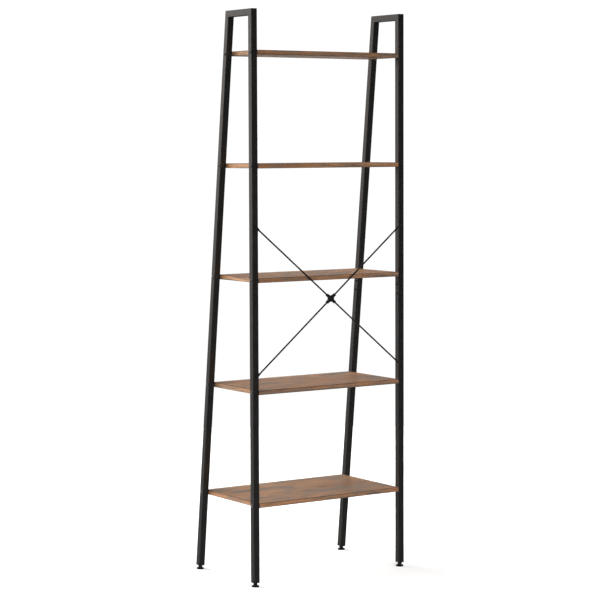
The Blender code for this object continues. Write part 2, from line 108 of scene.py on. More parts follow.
# Square tube
TUBE_WALL = 0.0012
TUBE_CORNER = 0.0018
TUBE_CORNER_STEPS = 6
BORE_CORNER = 0.0008
RIM_ROUND = 0.00025  # at a tube's cut ends
RIM_STEPS = 3
WEAR_REACH = 0.0009  # of rubbed paint beside a tube's corners
MITRE_HALF_WIDTH = 0.0007  # of the ground weld line at the top corners
MITRE_DEPTH = 0.00012
END_PLATE = 0.003
PLATE_BORE = 0.0043

# Boards
BAND = 0.0008  # thickness of the edge bands
BAND_ROUND = 0.00028
BAND_GAP = 0.00003
PANEL_ROUND = 0.00012
EDGE_STEPS = 3
EDGE_DARK = 0.0021  # reach of the dark line along a board's edges: painted shade together with the bands' glue seam
EDGE_RAGGED = 0.0040
BAND_PRINT_SCALE = 3.5  # how much finer the print is across a band than across a panel
PANEL_TINT = (1.0, 1.0, 1.0)
EDGE_TINT = (0.72, 0.67, 0.62)
END_PAINTED_LIGHT = (  # painted light: the bands at the boards' ends made lighter, from the bottom board up
    (1.04, 0.99, 0.92),
    (1.10, 1.03, 0.92),
    (1.18, 1.08, 0.92),
    (1.30, 1.17, 0.94),
    (1.46, 1.27, 0.96),
)
EDGE_SEED = 5.5  # keeps a band's print apart from its panel's
END_SEED = 9.5

# Bolts and screws
BOLT_HEAD_RADIUS = 0.0053
BOLT_HEAD_HEIGHT = 0.0030
BOLT_RADIUS = 0.003
BOLT_GRIP = 0.0355
BOLT_BORE = 0.0033
BOLT_SOCKET_FLATS = 0.004
BOLT_SOCKET_DEPTH = 0.0018
BOLT_MOUTH_RADIUS = 0.003  # of the countersink's cutter, as far above the crown as it goes below
BOLT_MOUTH_DEPTH = 0.0005
SCREW_HEAD_RADIUS = 0.0040
SCREW_HEAD_HEIGHT = 0.0022
SCREW_RADIUS = 0.002
SCREW_LENGTH = 0.007
SCREW_BORE = 0.0023
CROSS_LENGTH = 0.0046
CROSS_WIDTH = 0.0009
CROSS_DEPTH = 0.0011
CROSS_ROUND = 0.00018
HEAD_STEPS = 10  # from a head's crown to its rim
TURN_STEPS = 48
HEXAGON = 6

# Brace
ROD_RADIUS = 0.0025
TAB_THICKNESS = 0.0015
TAB_RADIUS = 0.0055
TAB_NECK = 0.017  # from the screw back to the round rod
TAB_FLARE = 0.011  # length over which the round rod is pressed flat
TAB_FLARE_STEPS = 14
TAB_TIP_STEPS = 14
ROD_SECTION_STEPS = 28
ROUND_SECTION = 2  # exponent of a round section, as against a flat one with rounded edges
FLAT_SECTION = 7
HUB_TIP_RADIUS = 0.0195
HUB_TIP_HALF_WIDTH = 0.0040
HUB_WAIST_RADIUS = 0.0094
HUB_THICKNESS = 0.0090
HUB_ROUND = 0.0010
HUB_ROUND_STEPS = 4
HUB_EDGE_ANGLE = math.radians(50)  # above which an edge of the star is rounded
HUB_CURVE_STEPS = 16
HUB_BOSS_RADIUS = 0.0060
HUB_BOSS_HEIGHT = 0.00118
HUB_BOSS_DISH = (  # shares of the boss's radius and height, from the middle out
    (0.3, 0.65),
    (0.62, 0.75),
    (0.80, 1.0),
    (0.93, 0.9),
    (1.0, 0.5),
)
ROD_IN_HUB = 0.0085

# Levelling feet. A pad is measured from the floor, a stem from the centre of its ball.
PAD_STEPS = 72
PAD_RADIUS = 0.0115
PAD_RIM = 0.0040
PAD_HEIGHT = 0.0050
PAD_ROUND = 0.0007  # at the bottom edge
PAD_ROUND_STEPS = 5
PAD_SHOULDER_STEPS = 8
PAD_TOP_RADIUS = 0.0075
PAD_SOCKET_RADIUS = 0.0031
PAD_SOCKET_FLOOR = 0.0010
BALL_RADIUS = 0.0028
BALL_STEPS = 14
STEM_NECK_RADIUS = 0.0019
STEM_RADIUS = 0.0040
STEM_TOP = 0.034
THREAD_PITCH = 0.00125
THREAD_DEPTH = 0.00070
THREAD_CREST = 0.13  # share of the pitch that is flat crest
THREAD_FLANKS = 0.62  # share of the pitch that is flank, on its two sides
THREAD_SAMPLES = 12  # rings of points in one pitch
THREAD_STEPS = 36
COLLAR_START = 0.0020
COLLAR_HEIGHT = 0.0063
COLLAR_FLATS = 0.012
COLLAR_CHAMFER = 0.0007

# Finishes
PAINT = ((0.0060, 0.0055, 0.0050), (0.0088, 0.0080, 0.0073))
RUBBED_PAINT = (0.026, 0.024, 0.022)
BLACK_OXIDE = ((0.004, 0.004, 0.004), (0.011, 0.011, 0.011))
DARK_ZINC = ((0.058, 0.055, 0.052), (0.088, 0.083, 0.079))
BLACK_PLASTIC = ((0.005, 0.005, 0.005), (0.010, 0.010, 0.010))
WOOD = ((0.182, 0.086, 0.041), (0.252, 0.128, 0.064), (0.312, 0.166, 0.088), (0.390, 0.226, 0.134))
WOOD_STOPS = (0.38, 0.46, 0.53, 0.62)
SMOKE = (0.150, 0.119, 0.096)
BLOTCH = (0.052, 0.037, 0.029)
CRACK = (0.024, 0.015, 0.010)
KNOT = (0.021, 0.012, 0.008)
EDGE_SEAM_AND_SHADE = (0.047, 0.028, 0.018)
WHITE = (1, 1, 1, 1)

SMOOTH_ANGLE = math.radians(38)
BOOLEAN_SPARE = 0.02  # that a cutter runs on past what it cuts


# ---------------------------------------------------------------- places, read from the frame


def middle(node):
    low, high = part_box(node)
    return (low + high) / 2


REAR_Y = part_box("lower_post_rear_left")[1].y
FRAME_X = middle("lower_post_rear_right").x
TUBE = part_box("lower_post_rear_right")[1].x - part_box("lower_post_rear_right")[0].x
HALF_TUBE = TUBE / 2
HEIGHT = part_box("upper_frame_left")[1].z
SEAM_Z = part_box("lower_post_rear_left")[1].z + GAP / 2
BRACE_TOP_Z = middle("brace_screw_upper_left").z
BRACE_BOTTOM_Z = middle("brace_screw_lower_left").z
BRACE_MID_Z = (BRACE_TOP_Z + BRACE_BOTTOM_Z) / 2
BRACE_HALF_HEIGHT = (BRACE_TOP_Z - BRACE_BOTTOM_Z) / 2
BRACE_ANGLE = math.atan2(BRACE_HALF_HEIGHT, FRAME_X)
ROD_BEHIND = ROD_RADIUS + GAP
BODIES = frame["record"]["behaviour"]["bodies"]
JOINTS = {joint["name"]: joint for joint in frame["joints"]}
BOARDS = [f"shelf_{index}" for index in range(1, 6)]
FLIP = Matrix.Rotation(math.pi / 2, 4, "Y")  # turns local Z to local X


def body_of(node):
    return next(body for body, members in BODIES.items() if node in members)


def post_up(post):
    """Unit vector up a post."""
    return -Vector(JOINTS[f"foot_turn_{post}_left"]["axis"]).normalized()


def ball_centre(post, side):
    """Centre of a foot's ball, which is on its post's axis."""
    return Vector(JOINTS[f"foot_turn_{post}_{side}"]["pos_m"])


def standing(origin, up):
    """A placement at origin with local Z along up and local X along the boards."""
    up = up.normalized()
    side = (Vector((1, 0, 0)) - up * up.x).normalized()
    turn = Matrix((side, up.cross(side), up)).transposed()
    return Matrix.Translation(origin) @ turn.to_4x4()


def on_post(side, post, z):
    """The placement on a post's axis at height z, with local Z up the post."""
    up, start = post_up(post), ball_centre(post, side)
    return standing(start + up * ((z - start.z) / up.z), up)


def seat(node, outward, head_height):
    """The placement of a bolt or screw: its head's underside at Z = 0 and local Z outward."""
    low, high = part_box(node)
    outward = Vector(outward)
    half = (high - low) / 2
    reach = sum(abs(a * b) for a, b in zip(outward, half))
    crown = (low + high) / 2 + outward * reach
    turn = outward.to_track_quat("Z", "Y").to_matrix().to_4x4()
    return Matrix.Translation(crown - outward * head_height) @ turn


# ---------------------------------------------------------------- shape helpers


def linked(name, mesh, place=None):
    made = bpy.data.objects.new(name, mesh)
    bpy.context.scene.collection.objects.link(made)
    if place is not None:
        made.matrix_world = place
    return made


def add_piece(node, ending, mesh, material, place=None):
    """A new visible piece that stands for a CAD node and rides on the same body."""
    made = linked(f"{node}_{ending}", mesh, place)
    if not mesh.materials:
        mesh.materials.append(material)
    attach(made, body_of(node))
    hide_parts(node)
    return made


def smooth(mesh):
    mesh.shade_smooth()
    mesh.set_sharp_from_angle(angle=SMOOTH_ANGLE)
    return mesh


def weighted(piece):
    """Keeps large flat faces flat beside smooth corners."""
    modifier = piece.modifiers.new("flat faces", "WEIGHTED_NORMAL")
    modifier.keep_sharp = True


def cut(mesh, cutters, operation="DIFFERENCE"):
    """The mesh after a Boolean with each (mesh, place) in turn."""
    target = linked("target", mesh)
    tools = []
    for cutter, place in cutters:
        tool = linked("tool", cutter, place)
        modifier = target.modifiers.new("cut", "BOOLEAN")
        modifier.operation = operation
        modifier.object = tool
        modifier.solver = "EXACT"
        tools.append(tool)
    bpy.context.view_layer.update()
    graph = bpy.context.evaluated_depsgraph_get()
    made = bpy.data.meshes.new_from_object(target.evaluated_get(graph))
    made.name = mesh.name
    for used in (target, *tools):
        bpy.data.objects.remove(used, do_unlink=True)
    return made


def finished(name, work):
    """The mesh of a bmesh, with its faces pointing out."""
    bmesh.ops.recalc_face_normals(work, faces=work.faces)
    mesh = bpy.data.meshes.new(name)
    work.to_mesh(mesh)
    work.free()
    return mesh


def loft(name, rings, wear=None):
    """A closed mesh through rings of points. wear gives each point of a ring its share of rubbed paint."""
    work = bmesh.new()
    layer = work.verts.layers.float.new("wear") if wear else None
    rows = [[work.verts.new(point) for point in ring] for ring in rings]
    for row, following in zip(rows, rows[1:]):
        for index in range(len(row)):
            beside = (index + 1) % len(row)
            work.faces.new((row[index], row[beside], following[beside], following[index]))
    work.faces.new(rows[0][::-1])
    work.faces.new(rows[-1])
    if wear:
        for row in rows:
            for vert, share in zip(row, wear):
                vert[layer] = share
    return finished(name, work)


def ring(radius, z, steps):
    angles = (2 * math.pi * step / steps for step in range(steps))
    return [Vector((radius * math.cos(a), radius * math.sin(a), z)) for a in angles]


def turned(name, profile, steps=TURN_STEPS):
    """A solid turned about Z from (radius, z) points, closed by a flat at each end."""
    return loft(name, [ring(radius, z, steps) for radius, z in profile])


def cylinder(name, radius, low, high, steps=TURN_STEPS):
    return turned(name, [(radius, low), (radius, high)], steps)


def rounded_box(work, low, high, radius):
    """Adds a box between two corners to a bmesh, with its edges rounded."""
    size = Vector(high) - Vector(low)
    place = Matrix.Translation((Vector(high) + Vector(low)) / 2) @ Matrix.Diagonal((*size, 1))
    made = bmesh.ops.create_cube(work, size=1, matrix=place)
    edges = {edge for vert in made["verts"] for edge in vert.link_edges}
    bmesh.ops.bevel(
        work, geom=list(edges), offset=radius, segments=EDGE_STEPS, profile=0.5, affect="EDGES"
    )


def eased(share):
    """A smooth step from 0 to 1."""
    share = min(max(share, 0), 1)
    return share * share * (3 - 2 * share)


def quarter(steps):
    """Angles from 0 to a right angle."""
    return [math.pi / 2 * step / steps for step in range(steps + 1)]


# ---------------------------------------------------------------- square tube


def square_section(side, corner):
    """Points round a square with rounded corners, and each point's share of wear."""
    points, wear = [], []
    inner = side / 2 - corner
    for turn, (sx, sy) in enumerate(((1, 1), (-1, 1), (-1, -1), (1, -1))):
        base = turn * math.pi / 2
        arc = [
            (sx * inner + corner * math.cos(base + a), sy * inner + corner * math.sin(base + a))
            for a in quarter(TUBE_CORNER_STEPS)
        ]
        # A point on the flat at each side of the corner keeps the wear close to it.
        before = (arc[0][0] + WEAR_REACH * math.sin(base), arc[0][1] - WEAR_REACH * math.cos(base))
        after = (arc[-1][0] - WEAR_REACH * math.cos(base), arc[-1][1] - WEAR_REACH * math.sin(base))
        points += [before, *arc, after]
        wear += [0.0] + [1.0] * len(arc) + [0.0]
    return points, wear


def rim(side, corner):
    """(section, distance from the cut end) pairs that round the rim of a tube."""
    made = []
    for angle in quarter(RIM_STEPS)[:-1]:
        inset = RIM_ROUND * (1 - math.sin(angle))
        made.append((square_section(side - 2 * inset, corner - inset)[0], RIM_ROUND * (1 - math.cos(angle))))
    return made


def straight_tube(name, length):
    """A solid square bar from Z = 0 up, with rounded corners and rims."""
    section, wear = square_section(TUBE, TUBE_CORNER)
    ends = rim(TUBE, TUBE_CORNER)
    stations = ends + [(section, RIM_ROUND), (section, length - RIM_ROUND)]
    stations += [(outline, length - z) for outline, z in reversed(ends)]
    return loft(name, [[Vector((x, y, z)) for x, y in outline] for outline, z in stations], wear)


def bore_bar(length, start):
    """The inside of a tube from Z = start, as a cutter."""
    section = square_section(TUBE - 2 * TUBE_WALL, BORE_CORNER)[0]
    rings = [[Vector((x, y, z)) for x, y in section] for z in (start, start + length)]
    return loft("tube_bore", rings)


def u_path(side):
    """Corners of an upper frame's centre line: up the rear post, along the rail, down the front post."""
    rail_z = HEIGHT - HALF_TUBE
    return [
        on_post(side, "rear", SEAM_Z).translation + post_up("rear") * GAP / 2,
        on_post(side, "rear", rail_z).translation,
        on_post(side, "front", rail_z).translation,
        on_post(side, "front", SEAM_Z).translation + post_up("front") * GAP / 2,
    ]


def on_leg(outline, start, along, plane_point, plane_normal):
    """An outline carried along one leg of the path until it meets a plane."""
    outward = along.cross(Vector((1, 0, 0)))
    points = []
    for x, y in outline:
        point = start + Vector((x, 0, 0)) + outward * y
        point += along * ((plane_point - point).dot(plane_normal) / along.dot(plane_normal))
        points.append(point)
    return points


def u_rings(path, section, ends, mitre):
    """Rings of points along an upper frame's path. mitre is the outline at the weld line's bottom."""
    legs = [(b - a).normalized() for a, b in zip(path, path[1:])]
    rings = []
    for outline, z in ends + [(section, RIM_ROUND)]:
        rings.append(on_leg(outline, path[0], legs[0], path[0] + legs[0] * z, legs[0]))
    for corner, before, after in zip(path[1:3], legs, legs[1:]):
        normal = (before + after).normalized()
        step = normal * MITRE_HALF_WIDTH
        rings.append(on_leg(section, corner, before, corner - step, normal))
        rings.append(on_leg(mitre, corner, before, corner, normal))
        rings.append(on_leg(section, corner, after, corner + step, normal))
    for outline, z in [(section, RIM_ROUND)] + ends[::-1]:
        rings.append(on_leg(outline, path[3], legs[2], path[3] - legs[2] * z, legs[2]))
    return rings


def across(side, post, z):
    """The placement on a post's axis at height z, with local Z across it to the right."""
    return on_post(side, post, z) @ FLIP


def bolt_bores(side, posts, low, high):
    """Cutters for the shelf bolts' holes between two heights."""
    return [
        (cylinder("bolt_bore", BOLT_BORE, -TUBE, TUBE), across(side, post, middle(board).z))
        for post in posts
        for board in BOARDS
        if low < middle(board).z < high
    ]


def splice_bore(side, post, end):
    """The cutter for a splice screw's hole through the inner wall."""
    centre = middle(f"splice_screw_{post}_{side}_{end}")
    place = Matrix.Translation((FRAME_X * SIDES[side], centre.y, centre.z)) @ FLIP
    inward = (-TUBE, 0) if side == "right" else (0, TUBE)
    return cylinder("splice_bore", SCREW_BORE, *inward), place


def brace_bore(side, end):
    """The cutter for a brace screw's hole through the rear wall."""
    centre = middle(f"brace_screw_{end}_{side}")
    place = Matrix.Translation((centre.x, REAR_Y, centre.z)) @ Matrix.Rotation(-math.pi / 2, 4, "X")
    return cylinder("brace_bore", SCREW_BORE, -HALF_TUBE, HALF_TUBE), place


def make_upper_frame(side, material):
    """The welded upside-down U, with a fine ground line across each top corner."""
    node = f"upper_frame_{side}"
    path = u_path(side)
    section, wear = square_section(TUBE, TUBE_CORNER)
    groove = square_section(TUBE - 2 * MITRE_DEPTH, TUBE_CORNER - MITRE_DEPTH)[0]
    outside = loft(node, u_rings(path, section, rim(TUBE, TUBE_CORNER), groove), wear)
    bore = square_section(TUBE - 2 * TUBE_WALL, BORE_CORNER)[0]
    longer = [
        path[0] - post_up("rear") * BOOLEAN_SPARE,
        *path[1:3],
        path[3] - post_up("front") * BOOLEAN_SPARE,
    ]
    inside = loft("u_bore", u_rings(longer, bore, [(bore, 0)], bore))
    cutters = [(inside, Matrix())] + bolt_bores(side, POSTS, SEAM_Z, HEIGHT)
    cutters += [splice_bore(side, post, "upper") for post in POSTS] + [brace_bore(side, "upper")]
    weighted(add_piece(node, "tube", smooth(cut(outside, cutters)), material))


def make_lower_post(side, post, material):
    """A half post with the nut plate across its lower end. Its origin is at that end, on its axis."""
    node = f"lower_post_{post}_{side}"
    foot_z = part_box("lower_post_rear_left")[0].z
    place = on_post(side, post, foot_z)
    length = (SEAM_Z - foot_z) / post_up(post).z - GAP / 2
    inverse = place.inverted()
    cutters = [
        (bore_bar(length, END_PLATE), Matrix()),
        (cylinder("stem_bore", PLATE_BORE, -END_PLATE, END_PLATE * 2), Matrix()),
    ]
    holes = bolt_bores(side, (post,), foot_z, SEAM_Z) + [splice_bore(side, post, "lower")]
    if post == "rear":
        holes.append(brace_bore(side, "lower"))
    cutters += [(mesh, inverse @ matrix) for mesh, matrix in holes]
    weighted(add_piece(node, "tube", smooth(cut(straight_tube(node, length), cutters)), material, place))


# ---------------------------------------------------------------- boards


def board_bores(node):
    """Cutters for the bolt holes in a board's ends, in the board's own frame."""
    centre = middle(node)
    number = node[-1]
    cutters = []
    for side, sign in SIDES.items():
        for post in POSTS:
            bolt = middle(f"shelf_bolt_{number}_{post}_{side}")
            end = Vector((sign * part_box(node)[1].x, bolt.y - centre.y, bolt.z - centre.z))
            bore = cylinder("board_bore", BOLT_BORE, -BOOLEAN_SPARE, BOOLEAN_SPARE)
            cutters.append((bore, Matrix.Translation(end) @ FLIP))
    return cutters


def make_board(node, panel_material, band_material, end_material):
    """A board: a laminated panel and the bands glued along its four edges."""
    low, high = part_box(node)
    half = (high - low) / 2
    place = Matrix.Translation((low + high) / 2)
    inner = half - Vector((BAND + BAND_GAP, BAND + BAND_GAP, 0))
    work = bmesh.new()
    rounded_box(work, -inner, inner, PANEL_ROUND)
    panel = cut(finished(f"{node}_panel", work), board_bores(node))
    work = bmesh.new()
    for sign in (-1, 1):
        ends = sorted((sign * half.y, sign * (half.y - BAND)))
        rounded_box(work, (-half.x, ends[0], -half.z), (half.x, ends[1], half.z), BAND_ROUND)
    edge_bands = finished(f"{node}_edge_bands", work)
    work = bmesh.new()
    reach = half.y - BAND - BAND_GAP
    for sign in (-1, 1):
        ends = sorted((sign * half.x, sign * (half.x - BAND)))
        rounded_box(work, (ends[0], -reach, -half.z), (ends[1], reach, half.z), BAND_ROUND)
    end_bands = cut(finished(f"{node}_end_bands", work), board_bores(node))
    weighted(add_piece(node, "panel", smooth(panel), panel_material, place))
    weighted(add_piece(node, "edge_bands", smooth(edge_bands), band_material, place))
    weighted(add_piece(node, "end_bands", smooth(end_bands), end_material, place))


# ---------------------------------------------------------------- bolts and screws


def head(radius, height):
    """Profile of a domed head as (radius, z) points, from its crown to its rim on Z = 0."""
    return [(radius * math.sin(a), height * math.cos(a)) for a in quarter(HEAD_STEPS)[1:]]


def bolt_mesh():
    """A button-head bolt with a hexagon socket."""
    profile = head(BOLT_HEAD_RADIUS, BOLT_HEAD_HEIGHT)
    profile += [(BOLT_RADIUS, 0), (BOLT_RADIUS, -BOLT_GRIP)]
    corner = BOLT_SOCKET_FLATS / math.sqrt(3)
    hexagon = cylinder("hexagon", corner, -BOLT_SOCKET_DEPTH, BOLT_SOCKET_DEPTH, HEXAGON)
    mouth = [(BOLT_SOCKET_FLATS / 2, -BOLT_MOUTH_DEPTH), (BOLT_MOUTH_RADIUS, BOLT_MOUTH_DEPTH)]
    crown = Matrix.Translation((0, 0, BOLT_HEAD_HEIGHT))
    return smooth(cut(turned("shelf_bolt", profile), [(hexagon, crown), (turned("mouth", mouth), crown)]))


def screw_mesh():
    """A pan-head screw with a cross recess."""
    profile = head(SCREW_HEAD_RADIUS, SCREW_HEAD_HEIGHT)
    profile += [(SCREW_RADIUS, 0), (SCREW_RADIUS, -SCREW_LENGTH)]
    crown = Matrix.Translation((0, 0, SCREW_HEAD_HEIGHT))
    cutters = []
    for turn in (0, math.pi / 2):
        work = bmesh.new()
        size = Vector((CROSS_LENGTH, CROSS_WIDTH)) / 2
        rounded_box(work, (-size.x, -size.y, -CROSS_DEPTH), (size.x, size.y, CROSS_DEPTH), CROSS_ROUND)
        cutters.append((finished("cross", work), crown @ Matrix.Rotation(turn, 4, "Z")))
    return smooth(cut(turned("pan_head_screw", profile), cutters))


def make_fasteners(bolt_material, screw_material):
    bolt, screw = bolt_mesh(), screw_mesh()
    for side, sign in SIDES.items():
        for post in POSTS:
            for board in BOARDS:
                node = f"shelf_bolt_{board[-1]}_{post}_{side}"
                add_piece(node, "m6", bolt, bolt_material, seat(node, (sign, 0, 0), BOLT_HEAD_HEIGHT))
            for end in ("upper", "lower"):
                node = f"splice_screw_{post}_{side}_{end}"
                add_piece(node, "m4", screw, screw_material, seat(node, (-sign, 0, 0), SCREW_HEAD_HEIGHT))
        for end in ("upper", "lower"):
            node = f"brace_screw_{end}_{side}"
            add_piece(node, "m4", screw, screw_material, seat(node, (0, 1, 0), SCREW_HEAD_HEIGHT))


# ---------------------------------------------------------------- brace


def brace_place(side_sign, end_sign):
    """The placement at the hub's centre with local X out along a rod and local Z to the rear."""
    along = Vector((side_sign * math.cos(BRACE_ANGLE), 0, end_sign * math.sin(BRACE_ANGLE)))
    rear = Vector((0, 1, 0))
    turn = Matrix((along, rear.cross(along), rear)).transposed()
    return Matrix.Translation((0, REAR_Y + ROD_BEHIND, BRACE_MID_Z)) @ turn.to_4x4()


def rod_ring(x, half_width, half_height, lift, squareness):
    """A ring across a rod. squareness runs from ROUND_SECTION to FLAT_SECTION."""
    points = []
    for step in range(ROD_SECTION_STEPS):
        angle = 2 * math.pi * step / ROD_SECTION_STEPS
        c, s = math.cos(angle), math.sin(angle)
        y = math.copysign(abs(c) ** (2 / squareness), c) * half_width
        z = math.copysign(abs(s) ** (2 / squareness), s) * half_height
        points.append(Vector((x, y, z + lift)))
    return points


def rod_mesh():
    """A brace rod along X: round from the hub, then pressed flat and rounded about its screw."""
    reach = math.hypot(FRAME_X, BRACE_HALF_HEIGHT)
    start = HUB_TIP_RADIUS - ROD_IN_HUB
    flat_lift = GAP + TAB_THICKNESS / 2 - ROD_BEHIND
    rings = [rod_ring(start, ROD_RADIUS, ROD_RADIUS, 0, ROUND_SECTION)]
    for step in range(TAB_FLARE_STEPS + 1):
        share = step / TAB_FLARE_STEPS
        pressed = eased(share)
        width = ROD_RADIUS + (TAB_RADIUS - ROD_RADIUS) * pressed
        height = ROD_RADIUS + (TAB_THICKNESS / 2 - ROD_RADIUS) * pressed
        squareness = ROUND_SECTION + (FLAT_SECTION - ROUND_SECTION) * pressed
        x = reach - TAB_NECK + TAB_FLARE * share
        rings.append(rod_ring(x, width, height, flat_lift * pressed, squareness))
    for angle in quarter(TAB_TIP_STEPS)[:-1]:
        x, width = reach + TAB_RADIUS * math.sin(angle), TAB_RADIUS * math.cos(angle)
        rings.append(rod_ring(x, width, TAB_THICKNESS / 2, flat_lift, FLAT_SECTION))
    hole = cylinder("tab_hole", SCREW_BORE, -HALF_TUBE, HALF_TUBE)
    return smooth(cut(loft("brace_rod", rings), [(hole, Matrix.Translation((reach, 0, 0)))]))


def hub_outline():
    """A four-pointed star with its arms along the rods and hollow sides between them."""
    turns = (BRACE_ANGLE, math.pi - BRACE_ANGLE, math.pi + BRACE_ANGLE, 2 * math.pi - BRACE_ANGLE)
    outline = []
    for turn, following in zip(turns, (*turns[1:], turns[0] + 2 * math.pi)):
        tip = Vector((math.cos(turn), math.sin(turn)))
        next_tip = Vector((math.cos(following), math.sin(following)))
        start = tip * HUB_TIP_RADIUS + Vector((-tip.y, tip.x)) * HUB_TIP_HALF_WIDTH
        end = next_tip * HUB_TIP_RADIUS + Vector((next_tip.y, -next_tip.x)) * HUB_TIP_HALF_WIDTH
        halfway = (turn + following) / 2
        waist = Vector((math.cos(halfway), math.sin(halfway))) * HUB_WAIST_RADIUS
        pull = 2 * waist - (start + end) / 2
        for step in range(HUB_CURVE_STEPS + 1):
            t = step / HUB_CURVE_STEPS
            outline.append(start * (1 - t) ** 2 + pull * 2 * t * (1 - t) + end * t**2)
    return outline


def make_hub(material):
    """The moulded star, its edges rounded, with a dished boss and a socket for each rod."""
    half = HUB_THICKNESS / 2
    work = bmesh.new()
    rows = [[work.verts.new((x, y, z)) for x, y in hub_outline()] for z in (-half, half)]
    count = len(rows[0])
    walls = [
        work.faces.new((rows[0][i], rows[0][(i + 1) % count], rows[1][(i + 1) % count], rows[1][i]))
        for i in range(count)
    ]
    caps = [work.faces.new(rows[0][::-1]), work.faces.new(rows[1])]
    bmesh.ops.recalc_face_normals(work, faces=walls + caps)
    edges = [edge for cap in caps for edge in cap.edges]
    edges += [e for e in work.edges if e.calc_face_angle(0) > HUB_EDGE_ANGLE and e not in edges]
    bmesh.ops.bevel(
        work, geom=edges, offset=HUB_ROUND, segments=HUB_ROUND_STEPS, profile=0.5, affect="EDGES"
    )
    star = finished("brace_hub", work)
    profile = [(HUB_BOSS_RADIUS * out, half + HUB_BOSS_HEIGHT * up) for out, up in HUB_BOSS_DISH]
    profile.append((HUB_BOSS_RADIUS, -half + HUB_BOSS_HEIGHT))
    star = cut(star, [(turned("boss", profile), Matrix())], "UNION")
    upright = Matrix((Vector((1, 0, 0)), Vector((0, 0, -1)), Vector((0, 1, 0)))).transposed().to_4x4()
    place = Matrix.Translation((0, REAR_Y + ROD_BEHIND, BRACE_MID_Z)) @ upright
    start = HUB_TIP_RADIUS - ROD_IN_HUB - GAP
    sockets = []
    for side_sign in SIDES.values():
        for end_sign in (-1, 1):
            hole = cylinder("rod_socket", ROD_RADIUS + GAP, start, start + ROD_IN_HUB * 2)
            sockets.append((hole, place.inverted() @ brace_place(side_sign, end_sign) @ FLIP))
    weighted(add_piece("brace_hub", "moulding", smooth(cut(star, sockets)), material, place))


def make_brace(steel, plastic):
    rod = rod_mesh()
    for end, end_sign in (("upper", 1), ("lower", -1)):
        for side, side_sign in SIDES.items():
            node = f"brace_rod_{end}_{side}"
            weighted(add_piece(node, "rod", rod, steel, brace_place(side_sign, end_sign)))
    make_hub(plastic)


# ---------------------------------------------------------------- levelling feet


def pad_mesh():
    """A foot's pad on Z = 0, rounded everywhere, with an open socket for the ball and a dished underside."""
    lip = PAD_ROUND / 2
    profile = [
        (PAD_SOCKET_RADIUS * 0.5, PAD_SOCKET_FLOOR),
        (PAD_SOCKET_RADIUS, PAD_SOCKET_FLOOR),
        (PAD_SOCKET_RADIUS, PAD_HEIGHT - lip),
        (PAD_SOCKET_RADIUS + lip, PAD_HEIGHT),
    ]
    shoulder = PAD_RADIUS - PAD_TOP_RADIUS
    for angle in quarter(PAD_SHOULDER_STEPS):
        radius = PAD_TOP_RADIUS + shoulder * math.sin(angle)
        profile.append((radius, PAD_RIM + (PAD_HEIGHT - PAD_RIM) * math.cos(angle)))
    for angle in quarter(PAD_ROUND_STEPS):
        profile.append((PAD_RADIUS - PAD_ROUND * (1 - math.cos(angle)), PAD_ROUND * (1 - math.sin(angle))))
    profile += [(PAD_TOP_RADIUS, 0), (PAD_TOP_RADIUS - lip, lip), (PAD_SOCKET_RADIUS, lip)]
    return smooth(turned("foot_pad", profile, PAD_STEPS))


def thread_radius(phase):
    """Radius of the thread at a phase from 0 to 1 through a pitch: a flat crest, two flanks and a root."""
    from_crest = abs(phase - 0.5) * 2
    return STEM_RADIUS - THREAD_DEPTH * min(max((from_crest - THREAD_CREST) / THREAD_FLANKS, 0), 1)


def stem_mesh():
    """A foot's stem, its ball centred on the origin: ball, neck, hexagon collar and a cut thread."""
    neck_angle = math.asin(STEM_NECK_RADIUS / BALL_RADIUS)
    rings = []
    for step in range(1, BALL_STEPS + 1):
        angle = math.pi - (math.pi - neck_angle) * step / BALL_STEPS
        rings.append(ring(BALL_RADIUS * math.sin(angle), BALL_RADIUS * math.cos(angle), THREAD_STEPS))
    collar_top = COLLAR_START + COLLAR_HEIGHT
    collar_middle = COLLAR_START + COLLAR_HEIGHT / 2
    root = STEM_RADIUS - THREAD_DEPTH
    rings.append(ring(STEM_NECK_RADIUS, collar_middle, THREAD_STEPS))
    rings.append(ring(root, collar_middle, THREAD_STEPS))
    count = round((STEM_TOP - collar_top) / THREAD_PITCH * THREAD_SAMPLES)
    for row in range(count + 1):
        z = collar_top + (STEM_TOP - collar_top) * row / count
        run_in = eased((z - collar_top) / THREAD_PITCH)
        points = []
        for step in range(THREAD_STEPS):
            turn = step / THREAD_STEPS
            crest = thread_radius((z / THREAD_PITCH - turn) % 1)
            run_out = root + STEM_TOP - z - THREAD_PITCH / 4
            radius = min(root + (crest - root) * run_in, run_out)
            angle = 2 * math.pi * turn
            points.append(Vector((radius * math.cos(angle), radius * math.sin(angle), z)))
        rings.append(points)
    corner = COLLAR_FLATS / math.sqrt(3)
    flat = COLLAR_FLATS / 2
    hexagon = cylinder("collar", corner, COLLAR_START, collar_top, HEXAGON)
    trim = [
        (flat - COLLAR_CHAMFER / 3, COLLAR_START),
        (corner, COLLAR_START + COLLAR_CHAMFER),
        (corner, collar_top - COLLAR_CHAMFER),
        (flat - COLLAR_CHAMFER / 3, collar_top),
    ]
    collar = cut(hexagon, [(turned("collar_trim", trim), Matrix())], "INTERSECT")
    return smooth(cut(loft("foot_stem", rings), [(collar, Matrix())], "UNION"))


def make_feet(pad_material, stem_material):
    pad, stem = pad_mesh(), stem_mesh()
    for side in SIDES:
        for post in POSTS:
            centre = ball_centre(post, side)
            under = Matrix.Translation((centre.x, centre.y, 0))
            above = standing(centre, post_up(post))
            add_piece(f"foot_pad_{post}_{side}", "moulding", pad, pad_material, under)
            add_piece(f"foot_stem_{post}_{side}", "m8", stem, stem_material, above)


# ---------------------------------------------------------------- node helpers


